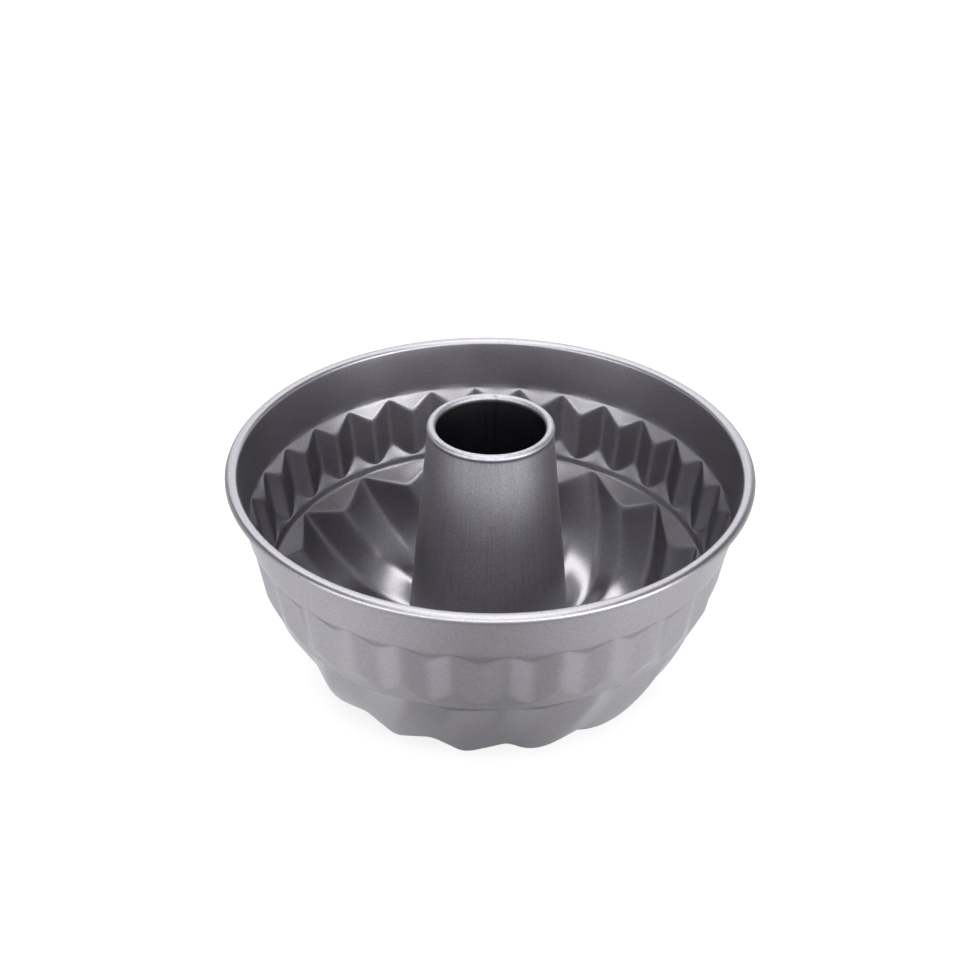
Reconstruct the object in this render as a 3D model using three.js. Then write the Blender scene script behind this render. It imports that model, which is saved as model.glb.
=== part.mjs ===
// Fluted tube pan, pressed from coated steel sheet.
// Millimetres, +Z up. The pan stands on the table plane z = 0 with its axis on the Z axis.
// Angles run anticlockwise seen from above. The lap seam of the tube faces +Y.

import * as THREE from 'three';

// Sheet stock, and the room that stays between folded sheets
const bowlSheet = 0.6;
const tubeSheet = 0.6;
const seamGap = 0.3;

// Rolled rim: a flattened, hollow roll turned outward, which stays open by this angle, in degrees
const rimRadius = 111;
const rimRollWidth = 5.2;
const rimRollHeight = 4;
const rimRollOpening = 55;

// Plain band under the rim: its height, and how far it draws in
const bandHeight = 21.5;
const bandTaper = 2.9;

// Pleats: two to each swirl lobe. The turn, in degrees, sets the first outer crease
const lobeCount = 15;
const pleatTurn = 10.4;
const pleatHeight = 21.7;
const pleatTaper = 3.6;

// The sloping cap over each inner crease, and the sloping floor under each outer crease
const pleatCapDrop = 7.5;
const pleatCapDepth = 4.2;
const pleatFloorDrop = 5.6;
const pleatFloorDepth = 3.2;

// Plain step between the pleats and the swirl
const stepHeight = 5.4;
const stepTaper = 1.4;

// Swirl lobes: height over their feet, and the cap that closes each inner crease at the top
const swirlHeight = 50.5;
const swirlCapDrop = 7.9;
const swirlCapDepth = 7.4;

// Swirl walls: draft where they leave the top, in degrees, and how far each end reaches to the knee
const valleyDraft = 16;
const valleyTopReach = 0.63;
const valleyFootReach = 0.73;
const ridgeDraft = 12.6;
const ridgeTopReach = 0.86;
const ridgeFootReach = 0.69;

// Turn of the swirl from its top to its foot, in degrees, and how it gathers on the way down
const swirlTurn = -19;
const swirlGather = 1.15;

// Width of the flat that stands for the press radius of a swirl crease
const creaseTop = 1.2;
const creaseFoot = 4;

// Foot of each lobe, which rests on the table, and the run of its rise to the ring round the tube
const footLength = 3.5;
const footRise = 5.8;

// Inner creases of the swirl at the foot, over the ring round the tube
const ridgeLift = 1.7;

// Ring round the tube, and the collar turned down from it
const ringWidth = 3;
const collarBend = 0.9;
const collarHeight = 3.2;

// Tube: outer radius at the ring and at the top roll, and the roll's height over the rim's centre
const tubeFootRadius = 37.4;
const tubeTopRadius = 26.75;
const tubeRise = 17.1;

// Top roll of the tube: it stands proud of the wall by the neck angle, in degrees, and stays open
const tubeRollWidth = 3.7;
const tubeRollNeck = 35;
const tubeRollOpening = 70;

// Foot seam: the tube's hem is folded up round the collar, clear of the ring and of the table
const hemClearance = 1.2;
const seamLift = 1.6;

// Lap seam down the tube: width of the double sheet, and the run of its edge
const lapWidth = 4;
const lapEdge = 0.3;
const lapAngle = 90;

// Steps in the faceted surfaces
const rollSteps = 9;
const swirlRows = 13;
const riseRows = 3;
const tubePlainColumns = 40;

// Colour of the coating
const coatingColour = 0x77777c;

const radians = THREE.MathUtils.degToRad;
const fullTurn = 360;
const columnsPerLobe = 4;
const columnCount = lobeCount * columnsPerLobe;

// Heights, from the table up
const footFloor = bowlSheet;
const collarBottom = seamLift + 2 * tubeSheet + seamGap;
const ringUnderside = collarBottom + collarHeight;
const ringTop = ringUnderside + bowlSheet;
const ridgeFloor = ringTop + ridgeLift;
const swirlTop = footFloor + swirlHeight;
const pleatBottom = swirlTop + stepHeight;
const valleyBottom = pleatBottom + pleatFloorDrop;
const pleatTop = valleyBottom + pleatHeight;
const rimCentre = pleatTop + bandHeight;
const tubeRollCentre = rimCentre + tubeRise;

// Radii of the bowl's inner face, from the rim inward
const rimCentreRadius = rimRadius - rimRollWidth / 2;
const pleatTopRadius = rimRadius - rimRollWidth - bandTaper;
const valleyBottomRadius = pleatTopRadius - pleatTaper;
const pleatBottomRadius = valleyBottomRadius - pleatFloorDepth;
const swirlTopRadius = pleatBottomRadius - stepTaper;
const collarRadius = tubeFootRadius + seamGap;
const ringRadius = collarRadius + ringWidth;
const footEndRadius = ringRadius + footRise;
const footRadius = footEndRadius + footLength;

// A point of a section, by radius and height
const at = (radius, height) => new THREE.Vector2(radius, height);

// A point on the straight line between two section points, at a given height
function onLine(upper, lower, height) {
  return upper.clone().lerp(lower, (upper.y - height) / (upper.y - lower.y));
}

// Roll in section, anticlockwise from one angle to another
function roll(centre, width, height, fromDegrees, toDegrees) {
  const from = radians(fromDegrees);
  const to = radians(toDegrees);
  const oval = new THREE.EllipseCurve(centre.x, centre.y, width / 2, height / 2, from, to);
  return oval.getPoints(rollSteps);
}

// Swirl wall in section: it leaves the top at its draft and arrives level at the foot
function swirlWall(top, foot, draft, topReach, footReach) {
  const knee = at(top.x - (top.y - foot.y) * Math.tan(radians(draft)), foot.y);
  const leave = top.clone().lerp(knee, topReach);
  const arrive = foot.clone().lerp(knee, footReach);
  return new THREE.CubicBezierCurve(top, leave, arrive, foot);
}

// Creases of the pleats in section
const valleyTopPoint = at(pleatTopRadius, pleatTop);
const valleyBottomPoint = at(valleyBottomRadius, valleyBottom);
const ridgeTopPoint = at(pleatTopRadius - pleatCapDepth, pleatTop - pleatCapDrop);
const ridgeBottomPoint = at(pleatBottomRadius, pleatBottom);

// Creases of the swirl in section
const swirlTopPoint = at(swirlTopRadius, swirlTop);
const swirlApexPoint = at(swirlTopRadius - swirlCapDepth, swirlTop - swirlCapDrop);
const valleyFootPoint = at(footRadius, footFloor);
const ridgeFootPoint = at(footRadius, ridgeFloor);
const valleyWall = swirlWall(swirlTopPoint, valleyFootPoint, valleyDraft, valleyTopReach, valleyFootReach);
const ridgeWall = swirlWall(swirlApexPoint, ridgeFootPoint, ridgeDraft, ridgeTopReach, ridgeFootReach);
const capShare = swirlCapDrop / valleyWall.getLength();

// One column of the bowl's sheet, down its inner face from the free edge of the rim to the collar's end.
// Even columns run down the outer creases of the pleats and odd ones down the inner creases.
// In the swirl, two columns bound the flat of an outer crease and the next two that of an inner crease.
function bowlColumn(index) {
  const column = [];
  const onPleatRidge = index % 2 === 1;
  const onSwirlRidge = index % columnsPerLobe >= columnsPerLobe / 2;
  const pleatAngle = pleatTurn + (index * fullTurn) / columnCount;
  const lobe = Math.floor(index / columnsPerLobe) + (onSwirlRidge ? 0.5 : 0);
  const creaseSide = index % 2 === 1 ? 1 : -1;

  const addPleat = (point) => column.push({ point, angle: radians(pleatAngle), ridge: onPleatRidge });
  const addSwirl = (point, share) => {
    const turn = pleatTurn + (lobe * fullTurn) / lobeCount + swirlTurn * share ** swirlGather;
    const crease = THREE.MathUtils.lerp(creaseTop, creaseFoot, Math.min(share, 1));
    const angle = radians(turn) + (creaseSide * crease) / 2 / Math.max(point.x, footRadius);
    column.push({ point, angle, ridge: onSwirlRidge });
  };
  const addFoot = (radius, height) => {
    const pastFoot = (footRadius - radius) / valleyWall.getLength();
    addSwirl(at(radius, height), 1 + pastFoot);
  };

  const rimRollCentre = at(rimCentreRadius, rimCentre);
  roll(rimRollCentre, rimRollWidth, rimRollHeight, rimRollOpening - 180, 180).forEach(addPleat);
  addPleat(valleyTopPoint);
  addPleat(onPleatRidge ? ridgeTopPoint : onLine(valleyTopPoint, valleyBottomPoint, ridgeTopPoint.y));
  addPleat(onPleatRidge ? onLine(ridgeTopPoint, ridgeBottomPoint, valleyBottom) : valleyBottomPoint);
  addPleat(ridgeBottomPoint);

  addSwirl(swirlTopPoint, 0);
  for (let row = 0; row < swirlRows; row += 1) {
    const rowShare = row / (swirlRows - 1);
    const share = THREE.MathUtils.lerp(capShare, 1, rowShare);
    addSwirl(onSwirlRidge ? ridgeWall.getPointAt(rowShare) : valleyWall.getPointAt(share), share);
  }

  const footHeight = onSwirlRidge ? ridgeFloor : footFloor;
  for (let row = 0; row <= riseRows; row += 1) {
    const radius = THREE.MathUtils.lerp(footEndRadius, ringRadius, row / riseRows);
    const risen = THREE.MathUtils.smoothstep(row, 0, riseRows);
    addFoot(radius, THREE.MathUtils.lerp(footHeight, ringTop, risen));
  }
  addFoot(collarRadius + collarBend, ringTop);
  addFoot(collarRadius, ringTop - collarBend);
  addFoot(collarRadius, collarBottom);
  return column;
}

// Section of the tube's outer face, from the hem's edge under the bowl to the end of the top roll
function tubeSection() {
  const hemRadius = collarRadius + bowlSheet + seamGap;
  const hemFloor = collarBottom - seamGap;
  const rollCentre = at(tubeTopRadius - tubeRollWidth / 2, tubeRollCentre);
  const rollEnd = fullTurn - tubeRollNeck - tubeRollOpening;
  return [
    at(hemRadius, ringUnderside - hemClearance),
    at(hemRadius, hemFloor),
    at(tubeFootRadius, hemFloor),
    at(tubeFootRadius, ringTop),
    ...roll(rollCentre, tubeRollWidth, tubeRollWidth, -tubeRollNeck, rollEnd),
  ];
}

// Columns of the tube's sheet: the lap's edges with the double sheet between them, then the plain wall
function tubeColumns() {
  const section = tubeSection();
  const lapColumn = (offset, sheets) => ({
    column: section.map((point) => {
      const angle = radians(lapAngle) + offset / point.x;
      return { point, angle, ridge: false };
    }),
    thickness: sheets * tubeSheet,
  });
  const columns = [
    lapColumn(-lapWidth / 2 - lapEdge, 1),
    lapColumn(-lapWidth / 2, 2),
    lapColumn(lapWidth / 2, 2),
    lapColumn(lapWidth / 2 + lapEdge, 1),
  ];
  for (let k = 1; k <= tubePlainColumns; k += 1) {
    const angle = radians(lapAngle + (k * fullTurn) / (tubePlainColumns + 1));
    const column = section.map((point) => ({ point, angle, ridge: false }));
    columns.push({ column, thickness: tubeSheet });
  }
  return columns;
}

// Unit normal to the left of the way from one section point to the next
function leftNormal(from, to) {
  const way = to.clone().sub(from).normalize();
  return at(-way.y, way.x);
}

// A column moved to its left by the sheet's thickness, mitred at each bend
function offsetColumn(column, thickness) {
  return column.map((entry, i) => {
    const here = entry.point;
    const before = i > 0 ? leftNormal(column[i - 1].point, here) : null;
    const after = i < column.length - 1 ? leftNormal(here, column[i + 1].point) : null;
    const first = before ?? after;
    const second = after ?? before;
    const mitre = first.clone().add(second).multiplyScalar(thickness / (1 + first.dot(second)));
    return { ...entry, point: here.clone().add(mitre) };
  });
}

// Closed sheet lofted through columns that stand side by side, anticlockwise all the way round the axis.
// Each column is one face of the sheet, and its thickness is laid off to the left of the column's way.
function sheetLoft(columns) {
  const faces = columns.map(({ column, thickness }) => [column, offsetColumn(column, thickness)]);
  const rows = columns[0].column.length;
  const positions = [];
  const triangles = [];

  for (const pair of faces) {
    for (const face of pair) {
      for (const { point, angle } of face) {
        positions.push(point.x * Math.cos(angle), point.x * Math.sin(angle), point.y);
      }
    }
  }
  const vertex = (column, face, row) => ((column % columns.length) * 2 + face) * rows + row;
  const quad = (a, b, c, d) => triangles.push(a, b, c, a, c, d);

  columns.forEach(({ column }, j) => {
    const next = columns[(j + 1) % columns.length].column;
    for (let i = 0; i < rows - 1; i += 1) {
      for (const face of [0, 1]) {
        const corners = [
          vertex(j, face, i),
          vertex(j, face, i + 1),
          vertex(j + 1, face, i + 1),
          vertex(j + 1, face, i),
        ];
        // The diagonal falls from an outer crease to an inner one, which makes the caps and floors flat
        const fallsBack = column[i].ridge && !next[i].ridge;
        const ordered = fallsBack ? [corners[3], corners[0], corners[1], corners[2]] : corners;
        if (face === 0) {
          ordered.reverse();
          ordered.unshift(ordered.pop());
        }
        quad(...ordered);
      }
    }
    const last = rows - 1;
    quad(vertex(j, 0, 0), vertex(j, 1, 0), vertex(j + 1, 1, 0), vertex(j + 1, 0, 0));
    quad(vertex(j, 0, last), vertex(j + 1, 0, last), vertex(j + 1, 1, last), vertex(j, 1, last));
  });

  const geometry = new THREE.BufferGeometry();
  geometry.setAttribute('position', new THREE.Float32BufferAttribute(positions, 3));
  geometry.setIndex(triangles);
  geometry.computeVertexNormals();
  return geometry;
}

function namedMesh(name, geometry, material) {
  const mesh = new THREE.Mesh(geometry, material);
  mesh.name = name;
  return mesh;
}

const coating = new THREE.MeshStandardMaterial({ color: coatingColour, metalness: 0.7, roughness: 0.38 });

// Bowl, pressed from one sheet
const bowlColumns = Array.from({ length: columnCount }, (unused, index) => ({
  column: bowlColumn(index),
  thickness: bowlSheet,
}));
const bowl = namedMesh('bowl', sheetLoft(bowlColumns), coating);

// Tube, rolled from a second sheet, with its foot folded round the bowl's collar
const tube = namedMesh('tube', sheetLoft(tubeColumns()), coating.clone());

const pan = new THREE.Group();
pan.add(bowl, tube);

export default pan;
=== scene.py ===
"""Fluted tube pan: a pressed bowl and its seamed centre tube under a grey non-stick coat."""

import math

import bpy
import numpy as np
from mathutils import Matrix, Vector


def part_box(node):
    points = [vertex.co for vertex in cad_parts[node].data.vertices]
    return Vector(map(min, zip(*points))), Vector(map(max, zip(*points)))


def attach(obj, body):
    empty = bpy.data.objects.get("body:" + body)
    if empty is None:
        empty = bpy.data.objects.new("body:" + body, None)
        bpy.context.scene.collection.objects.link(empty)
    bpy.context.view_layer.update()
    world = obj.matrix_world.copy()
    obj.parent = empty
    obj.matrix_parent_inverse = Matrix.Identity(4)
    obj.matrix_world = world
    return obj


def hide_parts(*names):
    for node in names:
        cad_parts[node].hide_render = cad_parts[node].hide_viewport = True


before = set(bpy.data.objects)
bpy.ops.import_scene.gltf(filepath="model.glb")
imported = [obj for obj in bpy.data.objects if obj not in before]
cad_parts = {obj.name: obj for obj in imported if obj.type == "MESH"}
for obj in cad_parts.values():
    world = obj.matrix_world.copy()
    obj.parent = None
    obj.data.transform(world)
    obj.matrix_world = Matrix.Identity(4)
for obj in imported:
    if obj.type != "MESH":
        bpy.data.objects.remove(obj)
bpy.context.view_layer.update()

# Sizes are in millimetres, and this turns them to Blender's metres
MM = 0.001
BOWL_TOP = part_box("bowl")[1].z / MM
TUBE_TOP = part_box("tube")[1].z / MM

# Sheet stock, and the room that stays between folded sheets
SHEET = 0.6
SEAM_GAP = 0.3

# Rolled rim: a flattened roll turned outward, open underneath by this angle in degrees
RIM_RADIUS = 111.0
RIM_ROLL_WIDTH = 5.2
RIM_ROLL_HEIGHT = 4.0
RIM_ROLL_OPENING = 55.0

# Plain band, pleats, and the plain step under them
BAND_HEIGHT = 21.5
BAND_TAPER = 2.9
LOBES = 15
PLEATS = 2 * LOBES
PLEAT_TURN = math.radians(10.4)
PLEAT_HEIGHT = 21.7
PLEAT_TAPER = 3.6
PLEAT_CAP_DROP = 7.5
PLEAT_CAP_DEPTH = 4.2
PLEAT_FLOOR_DROP = 8.0
PLEAT_FLOOR_DEPTH = 3.82
STEP_HEIGHT = 3.0
STEP_TAPER = 0.78

# Swirl lobes: caps, walls by their draft in degrees and reach to the knee, and the turn on the way down
SWIRL_CAP_DROP = 7.9
SWIRL_CAP_DEPTH = 7.4
VALLEY_WALL = {"draft": 16.0, "top_reach": 0.63, "foot_reach": 0.73}
RIDGE_WALL = {"draft": 12.6, "top_reach": 0.86, "foot_reach": 0.69}
SWIRL_TURN = math.radians(-19.0)
SWIRL_GATHER = 1.15
CREASE_TOP = 1.2
CREASE_FOOT = 4.0

# Lobe feet, the run of their rise to the ring round the tube, and the collar turned down from the ring
FOOT_LENGTH = 3.5
FOOT_RISE = 5.8
RIDGE_LIFT = 1.7
RING_WIDTH = 3.0
COLLAR_BEND = 0.9
COLLAR_HEIGHT = 3.2

# Tube: its outer face, the top roll, and the hem folded round the collar, clear of the ring and the table
TUBE_FOOT_RADIUS = 37.4
TUBE_TOP_RADIUS = 26.75
TUBE_ROLL_WIDTH = 3.7
TUBE_ROLL_NECK = 35.0
TUBE_ROLL_OPENING = 70.0
SEAM_LIFT = 1.6
HEM_CLEARANCE = 1.2
FOLD_ROUNDING = 0.45
NECK_ROUNDING = 0.5

# Lap seam down the back of the tube: a double sheet inside, and a fine groove at the outer sheet's edge
LAP_WIDTH = 4.0
LAP_EDGE = 0.3
LAP_GROOVE = 0.25
LAP_ANGLE = math.radians(90.0)

# Heights, from the rim and the tube's top down and from the table up
RIM_CENTRE = BOWL_TOP - RIM_ROLL_HEIGHT / 2
PLEAT_TOP = RIM_CENTRE - BAND_HEIGHT
VALLEY_BOTTOM = PLEAT_TOP - PLEAT_HEIGHT
PLEAT_BOTTOM = VALLEY_BOTTOM - PLEAT_FLOOR_DROP
SWIRL_TOP = PLEAT_BOTTOM - STEP_HEIGHT
TUBE_ROLL_CENTRE = TUBE_TOP - TUBE_ROLL_WIDTH / 2
FOOT_FLOOR = SHEET
COLLAR_BOTTOM = SEAM_LIFT + 2 * SHEET + SEAM_GAP
RING_TOP = COLLAR_BOTTOM + COLLAR_HEIGHT + SHEET
RIDGE_FLOOR = RING_TOP + RIDGE_LIFT
HEM_FLOOR = COLLAR_BOTTOM - SEAM_GAP
HEM_TOP = RING_TOP - SHEET - HEM_CLEARANCE

# Radii, from the rim inward and from the tube outward
RIM_CENTRE_RADIUS = RIM_RADIUS - RIM_ROLL_WIDTH / 2
PLEAT_TOP_RADIUS = RIM_RADIUS - RIM_ROLL_WIDTH - BAND_TAPER
VALLEY_BOTTOM_RADIUS = PLEAT_TOP_RADIUS - PLEAT_TAPER
PLEAT_BOTTOM_RADIUS = VALLEY_BOTTOM_RADIUS - PLEAT_FLOOR_DEPTH
SWIRL_TOP_RADIUS = PLEAT_BOTTOM_RADIUS - STEP_TAPER
TUBE_ROLL_RADIUS = TUBE_TOP_RADIUS - TUBE_ROLL_WIDTH / 2
COLLAR_RADIUS = TUBE_FOOT_RADIUS + SEAM_GAP
HEM_RADIUS = COLLAR_RADIUS + SHEET + SEAM_GAP
RING_RADIUS = COLLAR_RADIUS + RING_WIDTH
FOOT_END_RADIUS = RING_RADIUS + FOOT_RISE
FOOT_RADIUS = FOOT_END_RADIUS + FOOT_LENGTH

# Columns round the pieces, with the tube's lap spanning three to each side, and rows along their sheets
BOWL_COLUMNS = 12 * PLEATS
TUBE_COLUMNS = 160
LAP_SPAN = 3
ROLL_ROWS = 18
BAND_ROWS = 8
PLEAT_CAP_ROWS = 7
PLEAT_FACE_ROWS = 14
PLEAT_FLOOR_ROWS = 5
STEP_ROWS = 4
SWIRL_CAP_ROWS = 8
SWIRL_WALL_ROWS = 50
FOOT_ROWS = 4
RISE_ROWS = 6
COLLAR_ROWS = 4
TUBE_WALL_ROWS = 60
CURVE_STEPS = 200

# Press radius of the creases: passes of softening, sharper at the rim than at the lobe feet
PRESS_PASSES = 24
PRESS_TOP = 0.045
PRESS_FOOT = 0.115

# Edges that turn by more than this stay hard
HARD_EDGE = math.radians(50.0)

# Coat: its flake, its orange peel, the tube's draw lines and the clouds of the spray
FLAKE = 0.9
PEEL = 1.6
PEEL_DEPTH = 0.1
PEEL_STRENGTH = 0.05
DRAW_LINE_GAP = 0.8
DRAW_LINE_LENGTH = 50.0
DRAW_LINE_DEPTH = 0.1
CLOUD = 30.0
CLOUD_SHIFT = 0.03

# Most of a noise lies between these levels
NOISE_LOW = 0.3
NOISE_HIGH = 0.7

# Floor, by the distance from the pan's axis: where its glow in the metal starts and is full, a painted shade
# under the pan, and where its glow to the camera is dimmed as painted shade round the pan
GLOW_START = 50.0
GLOW_FULL = 80.0
SHADOW_START = 120.0
SHADOW_END = 500.0
FLOOR_HALF = 15000.0

# Glow of the floor in the metal in front of and behind the pan, a painted shade there, by the sine of the
# turn away; and its glow to the camera near the pan, a painted shade round its foot
FRONT_GLOW = 0.26
FRONT_TURN = 0.15
SIDE_TURN = 0.8
SHADOW_GLOW = 0.72

# Distance of the lamps from the pan
LAMP_DISTANCE = 1300.0


def ring(radius, height, angle):
    """Points on a circle round the pan's axis."""
    radius, height, angle = np.broadcast_arrays(radius, height, angle)
    return np.stack([radius * np.cos(angle), radius * np.sin(angle), height], axis=-1)


def blend(start, end, share):
    """Points between two rows of points, by a share for each column."""
    share = np.asarray(share)[..., None]
    return start + (end - start) * share


def stretch(start, end, rows):
    """Even rows of a flat stretch of sheet, from just after its start to its end."""
    return np.stack([start + (end - start) * (row + 1) / rows for row in range(rows)])


def roll_section(radius, height, width, tall, start, end):
    """Section of a rolled edge: an oval about its centre, anticlockwise between two angles in degrees."""
    angle = np.radians(np.linspace(start, end, ROLL_ROWS + 1))
    return np.stack([radius + width / 2 * np.cos(angle), height + tall / 2 * np.sin(angle)], axis=-1)


def creases_beside(angles, count, flat=0.0):
    """Angles of the outer and the inner crease beside each column, and the column's share of the way inward.

    A crease may have a flat, given by the angle of half its width.
    """
    half = math.pi / count
    turns = (angles - PLEAT_TURN) / (2 * half)
    outer = PLEAT_TURN + np.round(turns) * 2 * half
    inner = PLEAT_TURN + (np.floor(turns) + 0.5) * 2 * half
    share = np.clip((np.abs(angles - outer) - flat) / (half - 2 * flat), 0, 1)
    outer = outer + np.clip(angles - outer, -flat, flat)
    inner = inner + np.clip(angles - inner, -flat, flat)
    return outer, inner, share


class SwirlWall:
    """Section of a swirl wall by the share of its length: it leaves the top at its draft and ends level."""

    def __init__(self, top, foot, draft, top_reach, foot_reach):
        top = np.array(top)
        foot = np.array(foot)
        knee = np.array([top[0] - (top[1] - foot[1]) * math.tan(math.radians(draft)), foot[1]])
        leave = top + (knee - top) * top_reach
        arrive = foot + (knee - foot) * foot_reach
        t = np.linspace(0, 1, CURVE_STEPS + 1)[:, None]
        near_top = (1 - t) ** 3 * top + 3 * (1 - t) ** 2 * t * leave
        near_foot = 3 * (1 - t) * t**2 * arrive + t**3 * foot
        self.line = near_top + near_foot
        steps = np.linalg.norm(np.diff(self.line, axis=0), axis=1)
        self.run = np.concatenate([[0], np.cumsum(steps)])
        self.length = self.run[-1]

    def at(self, share):
        """Radius and height at a share of the wall's length."""
        along = np.clip(share, 0, 1) * self.length
        return np.interp(along, self.run, self.line[:, 0]), np.interp(along, self.run, self.line[:, 1])


SWIRL_APEX = (SWIRL_TOP_RADIUS - SWIRL_CAP_DEPTH, SWIRL_TOP - SWIRL_CAP_DROP)
valley_wall = SwirlWall((SWIRL_TOP_RADIUS, SWIRL_TOP), (FOOT_RADIUS, FOOT_FLOOR), **VALLEY_WALL)
ridge_wall = SwirlWall(SWIRL_APEX, (FOOT_RADIUS, RIDGE_FLOOR), **RIDGE_WALL)
CAP_SHARE = SWIRL_CAP_DROP / valley_wall.length


def swirl_turn(share):
    """Turn of the swirl at a share of the valley wall's length."""
    return SWIRL_TURN * share**SWIRL_GATHER


def rim_rows(angles):
    """Rolled rim, from its free edge underneath, over the top and down to the inside."""
    section = roll_section(
        RIM_CENTRE_RADIUS, RIM_CENTRE, RIM_ROLL_WIDTH, RIM_ROLL_HEIGHT, RIM_ROLL_OPENING - 180, 180
    )
    return np.stack([ring(radius, height, angles) for radius, height in section])


def pleat_rows(angles):
    """Plain band, then the pleats: a sloping cap, two faces and a sloping floor to each."""
    outer, inner, share = creases_beside(angles, PLEATS)
    rim = ring(RIM_RADIUS - RIM_ROLL_WIDTH, RIM_CENTRE, angles)
    top = ring(PLEAT_TOP_RADIUS, PLEAT_TOP, angles)
    bottom = ring(PLEAT_BOTTOM_RADIUS, PLEAT_BOTTOM, angles)
    valley_top = ring(PLEAT_TOP_RADIUS, PLEAT_TOP, outer)
    ridge_top = ring(PLEAT_TOP_RADIUS - PLEAT_CAP_DEPTH, PLEAT_TOP - PLEAT_CAP_DROP, inner)
    valley_bottom = ring(VALLEY_BOTTOM_RADIUS, VALLEY_BOTTOM, outer)
    ridge_bottom = ring(PLEAT_BOTTOM_RADIUS, PLEAT_BOTTOM, inner)
    cap_edge = blend(valley_top, ridge_top, share)
    straight_foot = blend(valley_bottom, ridge_bottom, share)

    # The faces end lower than a straight line between the creases, in a rounded foot at each inner crease
    foot_height = VALLEY_BOTTOM - PLEAT_FLOOR_DROP * np.sin(share * math.pi / 2)
    reach = (cap_edge[:, 2] - foot_height) / (cap_edge[:, 2] - straight_foot[:, 2])
    floor_edge = blend(cap_edge, straight_foot, reach)
    return np.concatenate([
        stretch(rim, top, BAND_ROWS),
        stretch(top, cap_edge, PLEAT_CAP_ROWS),
        stretch(cap_edge, floor_edge, PLEAT_FACE_ROWS),
        stretch(floor_edge, bottom, PLEAT_FLOOR_ROWS),
    ])


def swirl_rows(angles):
    """Plain step, then the swirl lobes: a cap over each inner crease and walls that turn down to the feet."""
    outer, inner, share = creases_beside(angles, LOBES, CREASE_TOP / 2 / SWIRL_TOP_RADIUS)
    start = ring(PLEAT_BOTTOM_RADIUS, PLEAT_BOTTOM, angles)
    top = ring(SWIRL_TOP_RADIUS, SWIRL_TOP, angles)
    valley_top = ring(SWIRL_TOP_RADIUS, SWIRL_TOP, outer)
    apex = ring(*SWIRL_APEX, inner + swirl_turn(CAP_SHARE))
    below_top = ring(*valley_wall.at(CAP_SHARE), outer + swirl_turn(CAP_SHARE))
    cap_edge = blend(valley_top, apex, share)
    rows = [stretch(start, top, STEP_ROWS), stretch(top, cap_edge, SWIRL_CAP_ROWS)]

    for down in np.linspace(0, 1, SWIRL_WALL_ROWS + 1)[1:]:
        crease = CREASE_TOP + (CREASE_FOOT - CREASE_TOP) * down
        outer, inner, share = creases_beside(angles, LOBES, crease / 2 / valley_wall.at(down)[0])
        along = CAP_SHARE * share + (1 - CAP_SHARE * share) * down
        turn = swirl_turn(along)
        valley = np.array(valley_wall.at(along))
        ridge = np.array(ridge_wall.at((along - CAP_SHARE) / (1 - CAP_SHARE)))
        flat = blend(ring(*valley, outer + turn), ring(*ridge, inner + turn), share)
        rounded = ring(*(valley + (ridge - valley) * share), angles + turn)
        wall = blend(flat, rounded, np.full_like(share, down))
        past_edge = (along / CAP_SHARE - share)[:, None]
        beside_cap = blend(valley_top, apex, share) + (below_top - valley_top) * past_edge
        rows.append(np.where((along < CAP_SHARE)[:, None], beside_cap, wall)[None])
    return np.concatenate(rows)


def foot_rows(angles):
    """Lobe feet, their rise to the ring round the tube, and the collar turned down inside it."""
    share = creases_beside(angles, LOBES, CREASE_FOOT / 2 / FOOT_RADIUS)[2]
    foot_height = FOOT_FLOOR + (RIDGE_FLOOR - FOOT_FLOOR) * share
    rows = []

    def add(radius, height):
        past_foot = (FOOT_RADIUS - radius) / valley_wall.length
        rows.append(ring(radius, height, angles + swirl_turn(1 + past_foot)))

    for radius in np.linspace(FOOT_RADIUS, FOOT_END_RADIUS, FOOT_ROWS + 1)[1:]:
        add(radius, foot_height)
    for rise in np.linspace(0, 1, RISE_ROWS + 1)[1:]:
        risen = rise * rise * (3 - 2 * rise)
        radius = FOOT_END_RADIUS + (RING_RADIUS - FOOT_END_RADIUS) * rise
        add(radius, foot_height + (RING_TOP - foot_height) * risen)
    for bend in np.linspace(0, math.pi / 2, COLLAR_ROWS + 1):
        add(COLLAR_RADIUS + COLLAR_BEND * (1 - math.sin(bend)), RING_TOP - COLLAR_BEND * (1 - math.cos(bend)))
    for height in np.linspace(RING_TOP - COLLAR_BEND, COLLAR_BOTTOM, COLLAR_ROWS + 1)[1:]:
        add(COLLAR_RADIUS, height)
    return np.stack(rows)


def press_radius(face, softness):
    """Rounds the creases as the press tool does: each pass draws a point towards its four neighbours."""
    for _ in range(PRESS_PASSES):
        around = np.roll(face, 1, axis=1) + np.roll(face, -1, axis=1)
        along = 2 * face
        along[1:-1] = face[:-2] + face[2:]
        face = face + softness * ((around + along) / 4 - face)
    return face


def bowl_face():
    """Inner face of the bowl's sheet, as rows of points from the rim's free edge to the collar's end."""
    angles = PLEAT_TURN + np.arange(BOWL_COLUMNS) * math.tau / BOWL_COLUMNS
    rim = rim_rows(angles)
    pleats = pleat_rows(angles)
    swirl = swirl_rows(angles)
    foot = foot_rows(angles)
    softness = np.concatenate([
        np.zeros(len(rim)),
        np.full(len(pleats), PRESS_TOP),
        np.linspace(PRESS_TOP, PRESS_FOOT, len(swirl)),
        np.full(FOOT_ROWS + RISE_ROWS - 1, PRESS_FOOT),
        np.zeros(len(foot) - FOOT_ROWS - RISE_ROWS + 1),
    ])
    face = np.concatenate([rim, pleats, swirl, foot])
    return press_radius(face, softness[:, None, None])


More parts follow.
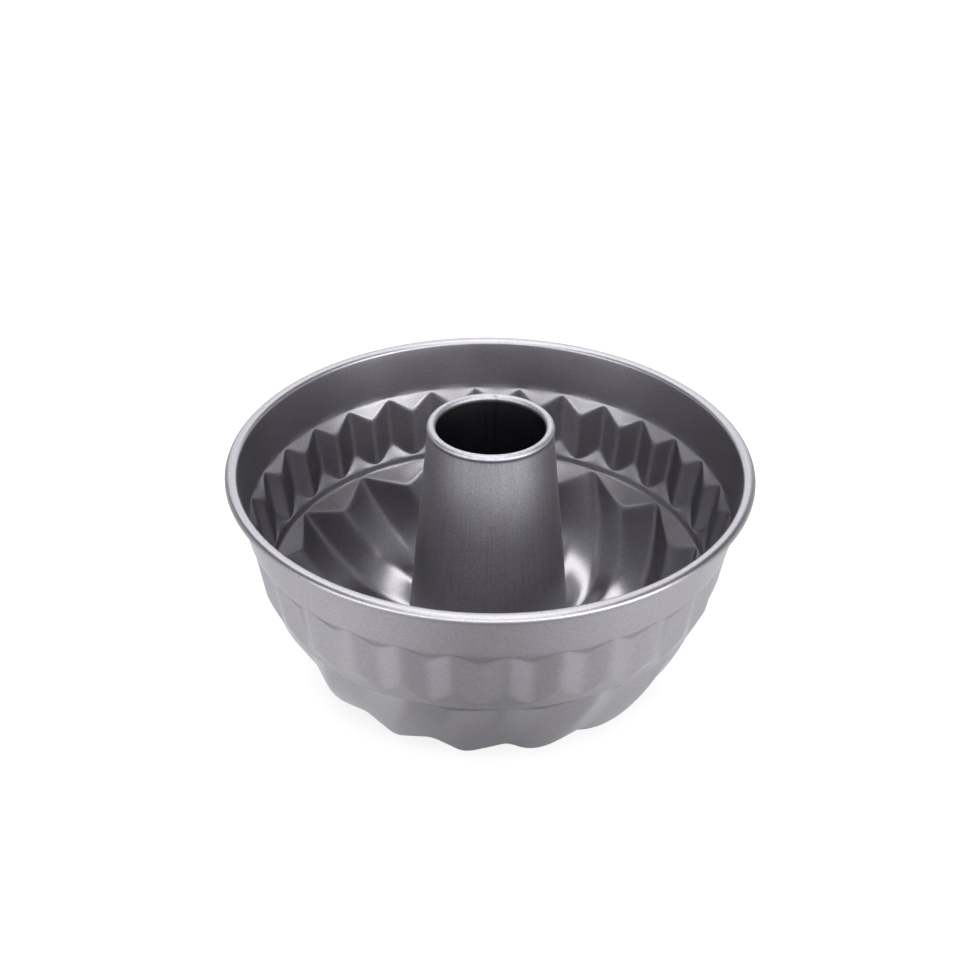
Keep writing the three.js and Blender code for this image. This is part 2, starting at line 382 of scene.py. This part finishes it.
def rounded_path(points, rounding, steps=5):
    """A section line with each inner corner replaced by a small curve."""
    points = [np.array(point, float) for point in points]
    path = [points[0]]
    for before, corner, after in zip(points, points[1:], points[2:]):
        reach = min(rounding, np.linalg.norm(before - corner) / 2, np.linalg.norm(after - corner) / 2)
        start = corner + (before - corner) / np.linalg.norm(before - corner) * reach
        end = corner + (after - corner) / np.linalg.norm(after - corner) * reach
        for t in np.linspace(0, 1, steps):
            path.append((1 - t) ** 2 * start + 2 * (1 - t) * t * corner + t**2 * end)
    path.append(points[-1])
    return np.array(path)


def tube_section():
    """Outer face of the tube's sheet, from the hem's edge under the bowl to the end of the top roll."""
    roll = roll_section(
        TUBE_ROLL_RADIUS, TUBE_ROLL_CENTRE, TUBE_ROLL_WIDTH, TUBE_ROLL_WIDTH,
        -TUBE_ROLL_NECK, 360 - TUBE_ROLL_NECK - TUBE_ROLL_OPENING,
    )
    folds = [
        (HEM_RADIUS, HEM_TOP),
        (HEM_RADIUS, HEM_FLOOR),
        (TUBE_FOOT_RADIUS, HEM_FLOOR),
        (TUBE_FOOT_RADIUS, RING_TOP),
    ]
    wall_foot = np.array(folds[-1])
    wall = [wall_foot + (roll[0] - wall_foot) * row / TUBE_WALL_ROWS for row in range(1, TUBE_WALL_ROWS)]
    lower = rounded_path(folds + [wall[0]], FOLD_ROUNDING)
    neck = rounded_path([wall[-1], roll[0], roll[2]], NECK_ROUNDING)
    return np.concatenate([lower[:-1], np.array(wall[:-1]), neck[:-1], roll[2:]])


def tube_face():
    """Outer face of the tube's sheet, and the sheet's thickness in each column."""
    section = tube_section()
    half = LAP_WIDTH / 2
    # Each column by the lap: its way round from the lap's middle, the groove's depth and the count of sheets
    lap_columns = [
        (-half - 2 * LAP_EDGE, 0.0, 1),
        (-half - LAP_EDGE, 0.0, 1),
        (-half - LAP_EDGE / 2, LAP_GROOVE, 1.5),
        (-half, 0.0, 2),
        (0.0, 0.0, 2),
        (half, 0.0, 2),
        (half + LAP_EDGE, 0.0, 1),
        (half + 2 * LAP_EDGE, 0.0, 1),
    ]
    columns = []
    thickness = []
    for offset, groove, sheets in lap_columns:
        radius = section[:, 0] - groove
        columns.append(ring(radius, section[:, 1], LAP_ANGLE + offset / section[:, 0]))
        thickness.append(sheets * SHEET - groove)
    for step in range(LAP_SPAN, TUBE_COLUMNS - LAP_SPAN + 1):
        columns.append(ring(section[:, 0], section[:, 1], LAP_ANGLE + step * math.tau / TUBE_COLUMNS))
        thickness.append(SHEET)
    return np.stack(columns, axis=1), np.array(thickness)


def back_of_sheet(face, thickness):
    """The second face of a sheet, laid off behind the first by the sheet's thickness."""
    across = np.roll(face, -1, axis=1)
    one_way = across[1:] - face[:-1]
    other_way = across[:-1] - face[1:]
    facet = np.cross(one_way, other_way)
    normal = np.zeros_like(face)
    for part in (facet, np.roll(facet, 1, axis=1)):
        normal[:-1] += part
        normal[1:] += part
    normal /= np.linalg.norm(normal, axis=-1, keepdims=True)
    return face + normal * np.asarray(thickness)[..., None]


def sheet_piece(name, face, thickness, coats):
    """A closed sheet from one of its faces, with the second face behind it and the two cut edges.

    The last coat goes on the second face, the first coat on the rest.
    """
    rows, columns = face.shape[:2]
    back = back_of_sheet(face, thickness)
    points = np.concatenate([face.reshape(-1, 3), back.reshape(-1, 3)]) * MM
    front = np.arange(rows * columns).reshape(rows, columns)
    rear = front + rows * columns
    next_front = np.roll(front, -1, axis=1)
    next_rear = np.roll(rear, -1, axis=1)
    quads = np.concatenate([
        np.stack([front[:-1], next_front[:-1], next_front[1:], front[1:]], axis=-1).reshape(-1, 4),
        np.stack([rear[:-1], rear[1:], next_rear[1:], next_rear[:-1]], axis=-1).reshape(-1, 4),
        np.stack([front[0], rear[0], next_rear[0], next_front[0]], axis=-1),
        np.stack([front[-1], next_front[-1], next_rear[-1], rear[-1]], axis=-1),
    ])
    mesh = bpy.data.meshes.new(name)
    mesh.from_pydata(points.tolist(), [], quads.tolist())
    mesh.shade_smooth()
    mesh.set_sharp_from_angle(angle=HARD_EDGE)
    for coat in coats:
        mesh.materials.append(coat)
    one_face = (rows - 1) * columns
    for polygon in mesh.polygons[one_face : 2 * one_face]:
        polygon.material_index = len(coats) - 1
    piece = bpy.data.objects.new(name, mesh)
    bpy.context.scene.collection.objects.link(piece)
    return piece


def colour(hex_value):
    """Linear colour of an sRGB hex value."""
    channels = [int(hex_value[i : i + 2], 16) / 255 for i in (0, 2, 4)]
    linear = [c / 12.92 if c <= 0.04045 else ((c + 0.055) / 1.055) ** 2.4 for c in channels]
    return (*linear, 1.0)


def add_node(tree, kind, inputs=None, **options):
    """Adds a node with its options, and sets or links its inputs by name or number."""
    node = tree.nodes.new(kind)
    for option, value in options.items():
        setattr(node, option, value)
    for socket, value in (inputs or {}).items():
        if isinstance(value, bpy.types.NodeSocket):
            tree.links.new(value, node.inputs[socket])
        else:
            node.inputs[socket].default_value = value
    return node


def new_material(name):
    """An empty node material and its output."""
    material = bpy.data.materials.new(name)
    material.use_nodes = True
    material.node_tree.nodes.clear()
    return material, add_node(material.node_tree, "ShaderNodeOutputMaterial")


def sprayed_coat(name, dark, light, roughness, draw_lines):
    """Grey non-stick resin with metal flake, sprayed on steel and cured: a soft metal sheen, finely grained.

    A rolled sheet keeps faint draw lines along the tube, of a given strength, under its coat.
    """
    material, output = new_material(name)
    tree = material.node_tree
    place = add_node(tree, "ShaderNodeTexCoord").outputs["Object"]

    # Metal flake, drawn coarser than the real one so that its grain shows
    flake = add_node(tree, "ShaderNodeTexNoise", {"Vector": place, "Scale": 1 / (FLAKE * MM), "Detail": 1.0})
    grain = flake.outputs[0]

    # Orange peel of the cured coat, by the way from bump to bump
    peel = add_node(tree, "ShaderNodeTexNoise", {"Vector": place, "Scale": 1 / (PEEL * MM), "Detail": 2.0})
    bump = add_node(
        tree,
        "ShaderNodeBump",
        {"Height": peel.outputs[0], "Strength": PEEL_STRENGTH, "Distance": PEEL_DEPTH * MM},
    )

    # Draw lines along the tube, by their gap at its top and their length, parted at the lap seam
    if draw_lines:
        axes = add_node(tree, "ShaderNodeSeparateXYZ", {0: place})
        forward = add_node(tree, "ShaderNodeMath", {0: axes.outputs[1], 1: -1.0}, operation="MULTIPLY")
        turn = add_node(
            tree, "ShaderNodeMath", {0: axes.outputs[0], 1: forward.outputs[0]}, operation="ARCTAN2"
        )
        across = add_node(
            tree,
            "ShaderNodeMath",
            {0: turn.outputs[0], 1: TUBE_TOP_RADIUS / DRAW_LINE_GAP},
            operation="MULTIPLY",
        )
        along = add_node(
            tree, "ShaderNodeMath", {0: axes.outputs[2], 1: DRAW_LINE_LENGTH * MM}, operation="DIVIDE"
        )
        grid = add_node(tree, "ShaderNodeCombineXYZ", {0: across.outputs[0], 1: along.outputs[0]})
        lines = add_node(tree, "ShaderNodeTexNoise", {"Vector": grid.outputs[0], "Scale": 1.0, "Detail": 2.0})
        grain = add_node(tree, "ShaderNodeMix", {0: draw_lines, 2: grain, 3: lines.outputs[0]}).outputs[0]
        bump = add_node(
            tree,
            "ShaderNodeBump",
            {
                "Height": lines.outputs[0],
                "Strength": draw_lines / 4,
                "Distance": DRAW_LINE_DEPTH * MM,
                "Normal": bump.outputs[0],
            },
        )

    grey = add_node(tree, "ShaderNodeValToRGB", {"Fac": grain})
    grey.color_ramp.elements[0].position = NOISE_LOW
    grey.color_ramp.elements[0].color = colour(dark)
    grey.color_ramp.elements[1].position = NOISE_HIGH
    grey.color_ramp.elements[1].color = colour(light)

    # Clouds where the spray lay a little wetter or drier
    cloud = add_node(tree, "ShaderNodeTexNoise", {"Vector": place, "Scale": 1 / (CLOUD * MM), "Detail": 2.0})
    wet = roughness - CLOUD_SHIFT
    dry = roughness + CLOUD_SHIFT
    sheen = add_node(
        tree, "ShaderNodeMapRange", {0: cloud.outputs[0], 1: NOISE_LOW, 2: NOISE_HIGH, 3: wet, 4: dry}
    )

    # The resin over the flake dulls the glancing shine that bare metal has, by the tint
    shader = add_node(
        tree,
        "ShaderNodeBsdfPrincipled",
        {
            "Base Color": grey.outputs[0],
            "Metallic": 1.0,
            "Specular Tint": colour("e6e6e6"),
            "Roughness": sheen.outputs[0],
            "Normal": bump.outputs[0],
        },
    )
    tree.links.new(shader.outputs[0], output.inputs["Surface"])
    return material


def white_floor():
    """Matt floor that glows white to the camera and in the metal, with painted shade and light in its glow,
    and keeps the pan's shadow.
    """
    material, output = new_material("matt_white_floor")
    tree = material.node_tree
    path = add_node(tree, "ShaderNodeLightPath")
    mirrored = add_node(
        tree,
        "ShaderNodeMath",
        {0: path.outputs["Is Glossy Ray"], 1: path.outputs["Is Transmission Ray"]},
        operation="ADD",
    )

    # In the metal it glows most to the left and right of the pan, a painted pool of light, and less in front
    # and behind and not at all under it, a painted shade
    place = add_node(tree, "ShaderNodeTexCoord").outputs["Object"]
    distance = add_node(tree, "ShaderNodeVectorMath", {0: place}, operation="LENGTH")
    open_floor = add_node(
        tree,
        "ShaderNodeMapRange",
        {0: distance.outputs["Value"], 1: GLOW_START * MM, 2: GLOW_FULL * MM, 3: 0.0, 4: 1.0},
    )
    outward = add_node(tree, "ShaderNodeVectorMath", {0: place}, operation="NORMALIZE")
    axes = add_node(tree, "ShaderNodeSeparateXYZ", {0: outward.outputs[0]})
    sideways = add_node(tree, "ShaderNodeMath", {0: axes.outputs[0]}, operation="ABSOLUTE")
    beside = add_node(
        tree,
        "ShaderNodeMapRange",
        {0: sideways.outputs[0], 1: FRONT_TURN, 2: SIDE_TURN, 3: FRONT_GLOW, 4: 1.0},
    )
    lit = add_node(
        tree, "ShaderNodeMath", {0: open_floor.outputs[0], 1: beside.outputs[0]}, operation="MULTIPLY"
    )
    in_metal = add_node(
        tree, "ShaderNodeMath", {0: mirrored.outputs[0], 1: lit.outputs[0]}, operation="MULTIPLY"
    )

    # To the camera it is white, and dimmed near the pan as a painted shade, so that its shadow shows there
    seen = add_node(
        tree,
        "ShaderNodeMapRange",
        {0: distance.outputs["Value"], 1: SHADOW_START * MM, 2: SHADOW_END * MM, 3: SHADOW_GLOW, 4: 1.0},
    )
    glow = add_node(
        tree,
        "ShaderNodeMath",
        {0: path.outputs["Is Camera Ray"], 1: seen.outputs[0], 2: in_metal.outputs[0]},
        operation="MULTIPLY_ADD",
    )
    white = add_node(tree, "ShaderNodeEmission", {"Strength": glow.outputs[0]})
    matt = add_node(tree, "ShaderNodeBsdfDiffuse", {"Color": colour("8a8a8a")})
    both = add_node(tree, "ShaderNodeAddShader", {0: white.outputs[0], 1: matt.outputs[0]})
    tree.links.new(both.outputs[0], output.inputs["Surface"])

    half = FLOOR_HALF * MM
    mesh = bpy.data.meshes.new("floor")
    corners = [(-half, -half, 0), (half, -half, 0), (half, half, 0), (-half, half, 0)]
    mesh.from_pydata(corners, [], [(0, 1, 2, 3)])
    floor = bpy.data.objects.new("floor", mesh)
    floor.data.materials.append(material)
    bpy.context.scene.collection.objects.link(floor)


def softbox(name, turn, height, width, depth, radiance):
    """A soft rectangular light aimed at the pan, by its turn from the camera and height in degrees.

    Its width and depth are in metres.
    """
    lamp = bpy.data.lights.new(name, "AREA")
    lamp.shape = "RECTANGLE"
    lamp.size = width
    lamp.size_y = depth
    # An area light's power is four times its face times its radiance
    lamp.energy = 4 * width * depth * radiance
    aim = Vector((0.0, 0.0, BOWL_TOP / 2)) * MM
    away = Matrix.Rotation(math.radians(turn), 3, "Z") @ Matrix.Rotation(math.radians(-height), 3, "X")
    outward = away @ Vector((0, -1, 0))
    light = bpy.data.objects.new(name, lamp)
    light.location = aim + LAMP_DISTANCE * MM * outward
    light.rotation_euler = (-outward).to_track_quat("-Z", "Y").to_euler()
    light.visible_camera = False
    bpy.context.scene.collection.objects.link(light)


def studio():
    """A dim room with a white horizon: low panels in front, softboxes above, at the sides and behind."""
    world = bpy.data.worlds.new("studio")
    world.use_nodes = True
    tree = world.node_tree
    tree.nodes.clear()

    # The horizon is white up to about 18 degrees, and from about 26 degrees up the room is dim
    horizon_top = 0.31
    room_start = 0.44
    room_level = 0.28
    direction = add_node(tree, "ShaderNodeTexCoord").outputs["Generated"]
    height = add_node(tree, "ShaderNodeSeparateXYZ", {0: direction}).outputs[2]
    level = add_node(
        tree, "ShaderNodeMapRange", {0: height, 1: horizon_top, 2: room_start, 3: 1.0, 4: room_level}
    )
    room = add_node(tree, "ShaderNodeBackground", {"Color": colour("ffffff"), "Strength": level.outputs[0]})
    add_node(tree, "ShaderNodeOutputWorld", {"Surface": room.outputs[0]})
    bpy.context.scene.world = world

    softbox("low_panel_left", -43, 8.75, 1.0, 0.38, 4.0)
    softbox("low_panel_middle", 0, 11, 1.0, 0.48, 3.0)
    softbox("low_panel_right", 46, 10.5, 1.1, 0.46, 6.2)
    softbox("front_panel", 0, 32, 1.0, 0.46, 2.3)
    softbox("front_softbox", 0, 54, 1.3, 0.55, 2.2)
    softbox("top_softbox", 0, 90, 1.15, 1.15, 3.0)
    softbox("back_softbox", 190, 50, 1.45, 0.75, 2.2)
    softbox("back_panel", 180, 19, 1.7, 0.41, 1.9)
    softbox("right_softbox", 54, 29, 1.15, 0.38, 2.6)
    softbox("left_softbox", -52, 27, 1.05, 0.41, 1.9)
    bpy.context.scene.view_settings.view_transform = "Standard"


def photo_camera():
    """Camera at the photograph's place, pitch and lens."""
    place = Vector((0.0, -593.1, 475.8)) * MM
    pitch = 0.575
    roll = -0.013
    focal_pixels = 1658.9
    image_pixels = 980
    lens = bpy.data.cameras.new("photo_camera")
    lens.sensor_width = 36.0
    lens.lens = lens.sensor_width * focal_pixels / image_pixels
    camera = bpy.data.objects.new("photo_camera", lens)
    turn = Matrix.Rotation(math.pi / 2 - pitch, 4, "X") @ Matrix.Rotation(-roll, 4, "Z")
    camera.matrix_world = Matrix.Translation(place) @ turn
    bpy.context.scene.collection.objects.link(camera)
    bpy.context.scene.camera = camera


bowl_coat = sprayed_coat("bowl_sprayed_coat", "868489", "908e94", 0.34, 0.0)
bowl = sheet_piece("pressed_bowl", bowl_face(), SHEET, [bowl_coat])
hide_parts("bowl")
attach(bowl, "root")

# The bore's inner face gets a darker coat: painted shade for the dark inside of the tube
tube_coat = sprayed_coat("tube_sprayed_coat", "858389", "9d9ba1", 0.48, 0.4)
painted_shade_bore_coat = sprayed_coat("bore_painted_shade_coat", "64636c", "6f6e77", 0.36, 0.0)
tube = sheet_piece("seamed_tube", *tube_face(), [tube_coat, painted_shade_bore_coat])
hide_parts("tube")
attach(tube, "root")

white_floor()
studio()
photo_camera()
